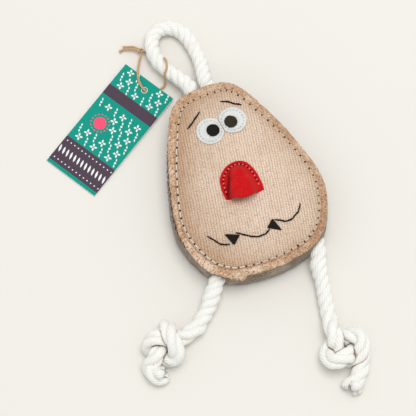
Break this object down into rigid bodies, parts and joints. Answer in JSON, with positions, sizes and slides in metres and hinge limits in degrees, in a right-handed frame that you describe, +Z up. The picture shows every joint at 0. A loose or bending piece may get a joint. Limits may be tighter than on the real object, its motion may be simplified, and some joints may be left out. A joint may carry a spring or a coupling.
{
  "type": "dog toy",
  "caption": "Flat stuffed dog toy with a jute face sewn on suede, a rope loop at the head, knotted rope legs and a swing tag on twine.",
  "frame": {"origin": "on the floor that the toy lies on, under the middle of its stuffed body", "axes": "+Z up out of the face, +Y from the legs to the head, +X to the right of someone who looks at the face"},
  "size_m": [0.1755, 0.2997, 0.0397],
  "materials": {
    "suede": "matt brushed suede, tan",
    "gusset_suede": "matt brushed suede, seen in shade",
    "jute": "coarse natural jute weave",
    "stuffing": "loose white polyester fibre",
    "white_felt": "matt white felt",
    "black_felt": "matt black felt",
    "red_felt": "brushed red felt",
    "black_thread": "soft black embroidery thread",
    "cotton_rope": "undyed cotton rope, laid from three strands",
    "twine": "natural jute twine",
    "printed_card": "matt printed card"
  },
  "bodies": {
    "body": {"back_panel": "suede", "side_gusset": "gusset_suede", "front_panel": "suede", "jute_face": "jute", "stuffing_core": "stuffing", "nose": "red_felt", "left_eye": "white_felt", "right_eye": "white_felt", "left_pupil": "black_felt", "right_pupil": "black_felt", "left_brow": "black_thread", "right_brow": "black_thread", "left_mouth_line": "black_thread", "middle_mouth_line": "black_thread", "right_mouth_line": "black_thread", "left_tooth": "black_felt", "right_tooth": "black_felt", "loop_anchor": "cotton_rope", "left_leg_anchor": "cotton_rope", "right_leg_anchor": "cotton_rope"},
    "loop": {"loop_rope": "cotton_rope", "tag_twine": "twine", "twine_knot": "twine"},
    "tag": {"tag_card": "printed_card"},
    "left_leg": {"left_leg_rope": "cotton_rope", "left_leg_knot": "cotton_rope"},
    "right_leg": {"right_leg_rope": "cotton_rope", "right_leg_knot": "cotton_rope"}
  },
  "joints": [
    {"name": "loop_fold", "type": "hinge", "parent": "body", "child": "loop", "pos_m": [0.0006, 0.0761, 0.011], "axis": [1, 0, 0], "range_deg": [0, 45]},
    {"name": "tag_swing", "type": "hinge", "parent": "loop", "child": "tag", "pos_m": [-0.0353, 0.0898, 0.0021], "axis": [1, 0, 0], "range_deg": [-45, 0]},
    {"name": "left_leg_swing", "type": "hinge", "parent": "body", "child": "left_leg", "pos_m": [-0.04294, -0.065, 0.011], "axis": [0, 0, 1], "range_deg": [-30, 30]},
    {"name": "right_leg_swing", "type": "hinge", "parent": "body", "child": "right_leg", "pos_m": [0.03222, -0.07057, 0.011], "axis": [0, 0, 1], "range_deg": [-30, 30]}
  ],
  "couplings": [
    {"joint": "tag_swing", "follows": "loop_fold", "ratio": -1}
  ]
}
